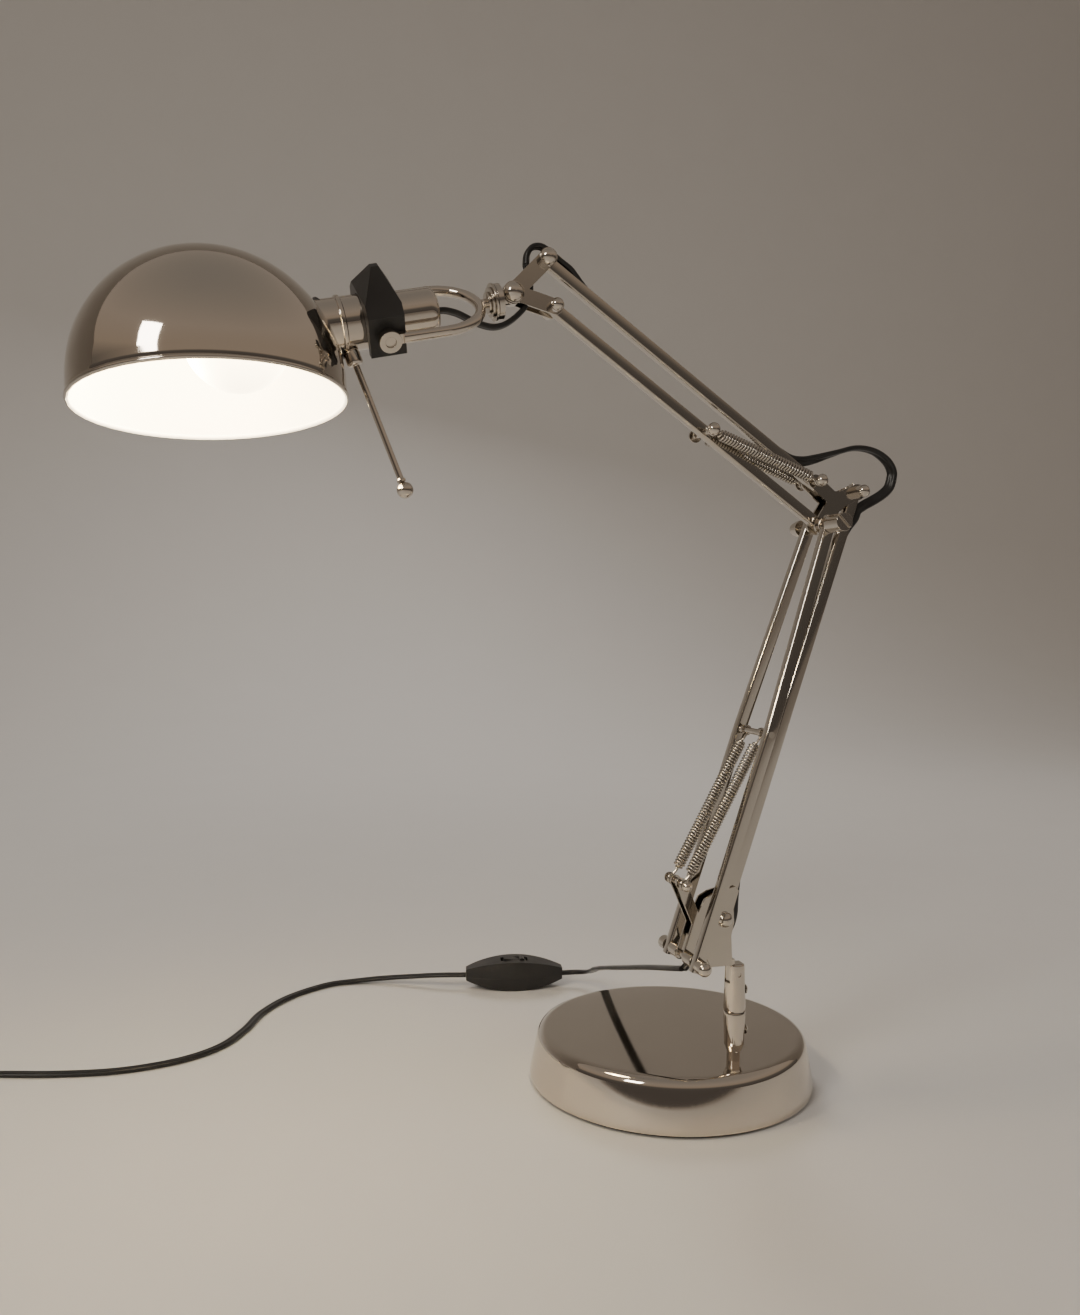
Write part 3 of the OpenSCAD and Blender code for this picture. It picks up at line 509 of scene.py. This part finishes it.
# A U with its outer corners rounded and its lips square, open towards +y or -y of the section
def channelSection(openSide):
    w, d, t = bar["width"] / 2, bar["depth"] / 2, bar["sheet"]
    outline = [(-w, d), (-w, -d), (w, -d), (w, d), (w - t, d), (w - t, -d + t), (-w + t, -d + t), (-w + t, d)]
    lip, outside, inside = 0.15, bar["corner"], 0.35
    p = filleted(outline, [lip, outside, outside, lip, lip, inside, inside, lip], 5)
    return p if openSide > 0 else p * [1, -1]


# The rear bar, upper bar and link run straight past their pivots: p + (q - p) * t. The front pair keeps its gap up to
# the bend and narrows from there
def addBars():
    for name, node, p, q, side, body in (
            ("rearBar", "rear_bar", rearFoot, rearElbow, -1, "rear_arm"),
            ("upperBar", "upper_bar", headTop, elbowTop, 1, "upper_arm"),
            ("lowerLink", "lower_link", headLow, elbow, 1, "link")):
        past = unit(q - p) * bar["past"]
        ends = inPlane([p - past, q + past])
        path = ends[0] + (ends[1] - ends[0]) * np.linspace(0, 1, 24)[:, None]
        settle(swept(name, path, channelSection(side), (0, 1, 0)), barPlate, body, (node,))
    length = np.linalg.norm(elbow - foot)
    bend = bar["bend"] * length
    at = np.array([-bar["past"], bend - 1, bend + 1, length + bar["past"]])
    gap = np.interp(at, [0, bend, length + bar["gapEnd"]], [bar["lowGap"], bar["lowGap"], bar["topGap"]])
    flat = foot + unit(elbow - foot) * at[:, None]
    for name, node, side in (("frontBarNear", "front_bar_near", -1), ("frontBarFar", "front_bar_far", 1)):
        path = evenly(np.stack([flat[:, 0], armY + side * gap, flat[:, 1]], 1), 4.0)
        settle(swept(name, path, channelSection(-1), (0, 1, 0)), barPlate, "front_arm", (node,))


# The cord inside a bar stands on its edge at the open side: p + v * a + up * lift, with its width along up
def addBarCords():
    for name, c in barCords.items():
        p, q = c["ends"]
        v = unit(q - p)
        up = np.array([-v[1], v[0]])
        a = np.linspace(c["stops"][0], np.linalg.norm(q - p) - c["stops"][1], 40)[:, None]
        path = inPlane(p + v * a + up * c["lift"])
        piece = swept(name, path, twinSection(), (up[0], 0, up[1]), smoothAngle=60)
        settle(piece, cordSkin, c["body"], (c["node"],))


addBars()
addBarCords()

coils = {"wire": 0.62, "radius": 2.38, "pitch": 1.5, "neck": 0.12, "taper": 1.2, "hook": 2.1, "apart": 7.5,
         "perTurn": 14}
springs = {
    "lowerSpring": {"ends": (crossbar, anchor), "clear": 5.5, "bodies": ("front_arm", "turret"),
                    "node": "lower_springs"},
    "upperSpring": {"ends": (springPost, elbowTop), "clear": 4.0, "bodies": ("link", "elbow"),
                    "node": "upper_springs"},
}


# A close helix between two pins: a + axis * s + r(s) * (cos * up + sin * side), where r narrows at both ends and runs
# in to a hook round its pin
def springPath(p, q, y, clear):
    a, b = np.array([p[0], armY + y, p[1]]), np.array([q[0], armY + y, q[1]])
    axis = unit(b - a)
    side = np.array([0.0, 1.0, 0.0])
    up = np.cross(axis, side)
    wound = np.linalg.norm(b - a) - 2 * clear
    turns = wound / coils["pitch"]
    t = np.linspace(0, turns, int(turns * coils["perTurn"]))
    full = np.clip(np.minimum(t, turns - t) / coils["taper"], 0, 1)
    r = coils["radius"] * (coils["neck"] + (1 - coils["neck"]) * full)
    ring = np.cos(2 * np.pi * t)[:, None] * up + np.sin(2 * np.pi * t)[:, None] * side
    body = a + axis * (clear + t / turns * wound)[:, None] + r[:, None] * ring
    h = np.linspace(np.pi * 1.35, 0.12 * np.pi, 18)
    hook = coils["hook"] * (np.cos(h)[:, None] * axis + np.sin(h)[:, None] * up)
    return evenly(np.vstack([a + hook, body, b - hook[::-1]]), 0.55)


# Two springs on each arm, one each side of its middle plane
def addSprings():
    for name, s in springs.items():
        p, q = s["ends"]
        for tag, side in (("Near", -1), ("Far", 1)):
            path = springPath(p, q, side * coils["apart"], s["clear"])
            piece = swept(name + tag, path, circle(coils["wire"], 7), (0.02, 1, 0.01), smoothAngle=80)
            settle(piece, springWire, None, (s["node"],))
            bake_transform(piece)


addSprings()
print("bars and springs made")

baseShape = {"d": 150.0, "h": 26.8, "pad": 1.5, "sheet": 1.2, "shoulder": 5.0, "lean": 4.4, "hem": 2.2,
             "insideShoulder": 2.4, "topBand": 0.05}


# The pressed shell: its wall outside and inside as one profile, turned; faces level with the top take the top's finish
def addBase():
    b = baseShape
    r, h, sheet = b["d"] / 2, b["h"], b["sheet"]
    outer = [(0, h), (r - b["lean"], h), (r, b["pad"] + b["hem"]), (r, b["pad"])]
    inner = [(r - sheet, b["pad"]), (r - sheet, b["pad"] + 2), (r - b["lean"] - sheet, h - sheet), (0, h - sheet)]
    radii = [0, b["shoulder"], 0.6, 0.3, 0.3, 0.5, b["insideShoulder"], 0]
    shell = spun("baseShell", filleted(outer + inner, radii, 9, loop=False), (0, 0, 0), (0, 0, 1), 160)
    centre = np.zeros(len(shell.data.polygons) * 3)
    shell.data.polygons.foreach_get("center", centre)
    onTop = centre.reshape(-1, 3)[:, 2] > (h - b["topBand"]) * mm
    shell.data.polygons.foreach_set("material_index", onTop.astype(np.int32))
    settle(shell, [mirrorPlate, topPlate], "base", ("base_shell",))


addBase()
print("base made")

holderRise = math.radians(13)
holderAxis = np.array([math.cos(holderRise), 0, math.sin(holderRise)])
holderUp = np.array([-math.sin(holderRise), 0, math.cos(holderRise)])
clampAt = np.array([-165.0, armY, 376.5])
shadeShape = {"rim": (-236.0, -50.0, 335.0), "d": 115.0, "skirt": 7.5, "sheet": 0.6, "bead": 1.0, "hole": 12.6,
              "tipX": -6.3, "tipY": -3.4, "rings": 90, "steps": 180}


# The shade's tip about x, then about y
def shadeTurn():
    tipY, tipX = (Matrix.Rotation(math.radians(shadeShape[k]), 3, k[-1]) for k in ("tipY", "tipX"))
    return np.array(tipY @ tipX)


# A half sphere with a round hole. The sphere is flattened from its foot, so that hole and brim are two circles, one
# inside the other; z = (q + a) / (1 + a q) makes them from two circles with one centre, whose rings are even
def domeGrid(radius, holeWay, holeAngle, rings, steps):
    tilt = math.acos(holeWay[2])
    far, near = math.tan((tilt + holeAngle) / 2), math.tan((tilt - holeAngle) / 2)
    s, d = far + near, far * near
    a = ((1 + d) - math.sqrt(max((1 + d) ** 2 - s ** 2, 0))) / s
    inner = abs((far - a) / (1 - a * far))
    ring = np.exp(np.linspace(math.log(inner), 0, rings))[:, None]
    q = ring * np.exp(1j * np.linspace(0, 2 * np.pi, steps, endpoint=False))[None]
    z = (q + a) / (1 + a * q) * np.exp(1j * math.atan2(holeWay[1], holeWay[0]))
    m = 2 / (1 + np.abs(z) ** 2)
    return radius * np.stack([z.real * m, z.imag * m, m - 1], -1)


# Dome and skirt of one wall; the hole is where the holder's axis meets the sphere, |off + x * axis| = radius
def shadeWall(radius, centre, turn):
    s = shadeShape
    entry = clampAt - centre
    off = entry - entry @ holderAxis * holderAxis
    x = math.sqrt(radius ** 2 - off @ off)
    way = turn.T @ unit(off + x * holderAxis)
    dome = domeGrid(radius, way, math.asin(s["hole"] / radius), s["rings"], s["steps"])
    skirt = dome[-1][None] + np.array([0, 0, -1.0]) * np.linspace(0, s["skirt"], 7)[1:, None, None]
    return np.concatenate([dome, skirt])


# The outer wall, a rolled bead and the inner wall as one closed grid; faces that look inwards are enamelled and carry
# the painted glow
def addShade():
    s = shadeShape
    turn = shadeTurn()
    centre = np.array(s["rim"]) + turn @ np.array([0, 0, s["skirt"]])
    outer, inner = (shadeWall(radius, centre, turn) for radius in (s["d"] / 2, s["d"] / 2 - s["sheet"]))
    flat = unit(outer[-1] * [1, 1, 0])
    t = np.linspace(-0.5 * np.pi, 1.25 * np.pi, 14)[::-1, None, None]
    upright = np.array([0, 0, 1.0])
    bead = outer[-1][None] + flat * (s["bead"] * np.cos(t) - 0.3) + upright * (s["bead"] * np.sin(t) + 0.9)
    p = np.concatenate([outer[:-2], bead, inner[:-1][::-1]])
    grid = (p @ turn.T + centre).reshape(-1, 3)
    piece = addMesh("domeShade", grid, gridFaces(len(p), s["steps"], closedI=True), 50)
    polygons = piece.data.polygons
    mid, facing = np.zeros(len(polygons) * 3), np.zeros(len(polygons) * 3)
    polygons.foreach_get("center", mid)
    polygons.foreach_get("normal", facing)
    local = (mid.reshape(-1, 3) / mm - centre) @ turn
    away = unit(np.where(local[:, 2:] > 0, local, local * [1, 1, 0]))
    looksIn = (facing.reshape(-1, 3) @ turn * away).sum(1) < 0
    onWall = (local * away).sum(1) < s["d"] / 2 - s["sheet"] * 0.3
    polygons.foreach_set("material_index", (looksIn & onWall).astype(np.int32))
    settle(piece, [mirrorPlate, enamel], "shade", ("shade",))


addShade()

# Profiles as (radius, distance along the holder's axis from the clamp), with a fillet for each corner
holder = {
    "sleeve": [(11.2, -27), (12, -27), (12, -18.1), (12.8, -17.9), (12.8, -16.1), (12, -15.9), (12, 8.5), (11.2, 8.5)],
    "sleeveFillets": [0.3, 0.3, 0.15, 0.4, 0.4, 0.15, 0.5, 0.2],
    "cap": [(2.9, 26.6), (10.6, 26.6), (10.6, 9.1), (11.1, 9.0), (11.1, 0.2), (10.2, 0.2), (10.2, 9.4), (9.6, 9.6),
            (9.6, 22.5), (2.9, 22.5)],
    "capFillets": [0.4, 4.2, 0.1, 0.1, 0.1, 0.1, 0.1, 0.1, 2.5, 0.2],
    "washers": [(50.4, 51.6, 5.0), (51.7, 52.85, 6.9), (52.95, 54.1, 8.6)],  # low, high, radius
}
bulb = {"neck": [(0, -6), (5.2, -6.2), (6.6, -8), (6.6, -33), (9.5, -37), (15.2, -45.4)],
        "neckFillets": [0, 1, 1, 2, 3, 0], "radius": 22.5, "centre": -62, "throat": 15.9}


# The sleeve and the cap are closed rings; the bulb is its neck, then radius * (sin a, cos a) about the globe's centre
def addHolder():
    sleeve = filleted(holder["sleeve"], holder["sleeveFillets"], 6)
    piece = spun("holderSleeve", sleeve, clampAt, holderAxis, closed=True)
    settle(piece, mirrorPlate, "shade", ("holder_sleeve",))
    cap = filleted(holder["cap"], holder["capFillets"], 9)
    piece = spun("holderCap", cap, clampAt, holderAxis, closed=True)
    settle(piece, mirrorPlate, "shade", ("holder_cap",))
    neck = filleted(bulb["neck"], bulb["neckFillets"], 6, loop=False)
    a = np.linspace(math.asin(bulb["throat"] / bulb["radius"]), np.pi, 40)
    globe = np.stack([bulb["radius"] * np.sin(a), bulb["centre"] + bulb["radius"] * np.cos(a)], 1)
    settle(spun("bulbGlobe", np.vstack([neck, globe]), clampAt, holderAxis), opal, "shade", ("bulb",))


# Three washers on the yoke's stem, each wider than the last
def addWashers():
    for k, (low, high, radius) in enumerate(holder["washers"]):
        disc = filleted([(0, low), (radius, low), (radius, high), (0, high)], [0, 0.35, 0.35, 0], 5, loop=False)
        piece = spun("stemWasher" + str(k), disc, clampAt, holderAxis, 64)
        settle(piece, smallPlate, bodyOf["stem_washers"], ("stem_washers",))


addHolder()
addWashers()

stick = {"swing": -6, "tilt": 82, "along": -15.5, "out": 11.4, "ball": 3.7, "ballStart": 0.30, "length": 66.0,
         "shank": [(0, 0.6), (3.0, 0.6), (3.6, 1.4), (3.6, 6.6), (2.7, 7.4), (1.45, 7.6), (1.45, 60.5), (2.0, 61),
                   (2.0, 62.2)],
         "fillets": [0, 0.3, 0.5, 0.6, 0.4, 0.4, 0.3, 0.3, 0]}


# The collar, rod and ferrule as one profile, then the ball: (ball * sin t, length - ball * cos t)
def addStick():
    s = stick
    swing, tilt = math.radians(s["swing"]), math.radians(s["tilt"])
    down = -(holderUp * math.cos(swing) - np.array([0, 1, 0]) * math.sin(swing))
    way = unit(down * math.sin(tilt) + holderAxis * math.cos(tilt))
    start = clampAt + s["along"] * holderAxis + s["out"] * down
    t = np.linspace(s["ballStart"], np.pi, 22)
    ball = np.stack([s["ball"] * np.sin(t), s["length"] - s["ball"] * np.cos(t)], 1)
    shank = filleted(s["shank"], s["fillets"], 5, loop=False)
    piece = spun("aimingStick", np.vstack([shank, ball]), start, way, 48)
    settle(piece, mirrorPlate, "shade", ("aiming_stick",))


addStick()
print("shade and holder made")

# Bevel width and finish of the CAD nodes that only need their edges eased
softened = {
    "clamp": (0.9, blackMould), "shade_ring": (0.3, blackMould), "yoke": (0.35, mirrorPlate),
    "knuckle_block": (0.12, smallPlate), "knuckle_screw": (0.3, smallPlate), "head_bracket": (0.22, barPlate),
    "elbow_bracket": (0.22, barPlate), "foot_bracket": (0.22, barPlate), "post_lower": (0.3, mirrorPlate),
    "post_upper": (0.3, mirrorPlate), "elbow_screw": (0.4, smallPlate), "elbow_nut": (0.3, smallPlate),
    "clamp_screws": (0.25, smallPlate), "plug_body": (1.4, blackMould), "switch_bottom": (0.7, blackMould),
    "switch_top": (0.7, blackMould), "switch_rocker": (0.5, blackMould), "bracket_spacer": (0.2, smallPlate),
    "foot_rod": (0.25, smallPlate),
}
slotFinish = {"iron": iron, "foam": padFoam, "moulded": blackMould, "cord": cordSkin, "socket": socketWhite,
              "glass": opal, "bright": mirrorPlate, "plated": smallPlate, "spring": springWire}


# Eased copies first, then the finish of each slot on every CAD node that still shows
def dressNodes():
    for node, (width, material) in softened.items():
        settle(eased(node, width), material, bodyOf[node])
    for node, obj in nodes.items():
        if not obj.hide_render:
            obj.data.materials.clear()
            obj.data.materials.append(slotFinish[slotOf[node]])
            obj.data.polygons.foreach_set("use_smooth", np.ones(len(obj.data.polygons), bool))


dressNodes()

studio = {
    "floor": (0.70, 0.69, 0.67), "fleck": 0.97, "front": -9.0, "back": 2.2, "top": 3.6, "bend": 1.1, "side": 9,
    "lights": {
        "keyLight": {"place": (-1.5, -1.1, 1.2), "aim": (-0.05, 0, 0.2), "size": 0.5, "power": 13.0,
                     "colour": (1, 0.93, 0.84)},
        "fillLight": {"place": (1.4, -0.9, 0.9), "aim": (0, 0, 0.2), "size": 0.8, "power": 5.0,
                      "colour": (1, 0.95, 0.90)},
        "backLight": {"place": (0.2, 1.6, 1.5), "aim": (-0.1, 0, 0.25), "size": 0.8, "power": 13.0,
                      "colour": (1, 0.96, 0.92)}},
    "bulb": {"along": -88, "up": -6, "power": 0.9, "colour": (1.0, 0.80, 0.52), "radius": 0.02},
    "backdrop": (0.42, 0.40, 0.37), "airPower": 0.8,
    "air": [(0.0, (0.10, 0.07, 0.05)), (0.50, (0.10, 0.085, 0.075)), (0.61, (0.13, 0.115, 0.10)),
            (0.68, (0.40, 0.32, 0.25)), (0.80, (0.42, 0.35, 0.29)), (1.0, (0.30, 0.27, 0.24))],
}


# Floor and backdrop in one sheet, in metres: flat, a wide bend, then upright
def addFloor():
    s = studio
    run = filleted([(s["front"], 0), (s["back"], 0), (s["back"], s["top"])], [0, s["bend"], 0], 24, loop=False)
    x = np.broadcast_to(np.linspace(-s["side"], s["side"], 3)[None], (len(run), 3))
    p = np.stack([x, np.broadcast_to(run[:, :1], x.shape), np.broadcast_to(run[:, 1:], x.shape)], -1)
    floor = addMesh("studioFloor", p.reshape(-1, 3) / mm, gridFaces(len(run), 3, closedJ=False), 60, recalc=False)
    r = Recipe(bpy.data.materials.new("paleFloor"))
    tone = r.blend(r.noise(12, 3, 0.5), s["floor"], tuple(c * s["fleck"] for c in s["floor"]))
    settle(floor, r.finish(Base_Color=tone, Roughness=0.75))


# Three soft lights, of which only the key shows in the plate, and a small warm one in the bulb
def addLights():
    for name, soft in studio["lights"].items():
        data = bpy.data.lights.new(name, "AREA")
        data.size, data.energy, data.color = soft["size"], soft["power"], soft["colour"]
        light = bpy.data.objects.new(name, data)
        bpy.context.scene.collection.objects.link(light)
        light.location = soft["place"]
        light.rotation_euler = (Vector(soft["aim"]) - Vector(soft["place"])).to_track_quat("-Z", "Y").to_euler()
        light.visible_glossy = name == "keyLight"
    b = studio["bulb"]
    data = bpy.data.lights.new("bulbLight", "POINT")
    data.energy, data.color, data.shadow_soft_size = b["power"], b["colour"], b["radius"]
    light = bpy.data.objects.new("bulbLight", data)
    bpy.context.scene.collection.objects.link(light)
    light.location = (clampAt + b["along"] * holderAxis + b["up"] * holderUp) * mm
    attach(light, "shade")


# The air: dim and warm up to just over the horizon, paler above, and one even tone behind the lamp
def addAir():
    world = bpy.data.worlds.new("studioAir")
    r = Recipe(world, "Background", "Generated")
    height = r.band(r.node("SeparateXYZ", {}, r.place, out="Z"), -1, 1)
    sky = r.node("ValToRGB", {"stops": studio["air"]}, height)
    seen = r.node("LightPath", {}, out="Is Camera Ray")
    r.finish(Color=r.blend(seen, sky, studio["backdrop"]), Strength=studio["airPower"])
    bpy.context.scene.world = world


addFloor()
addLights()
addAir()
print("studio set")
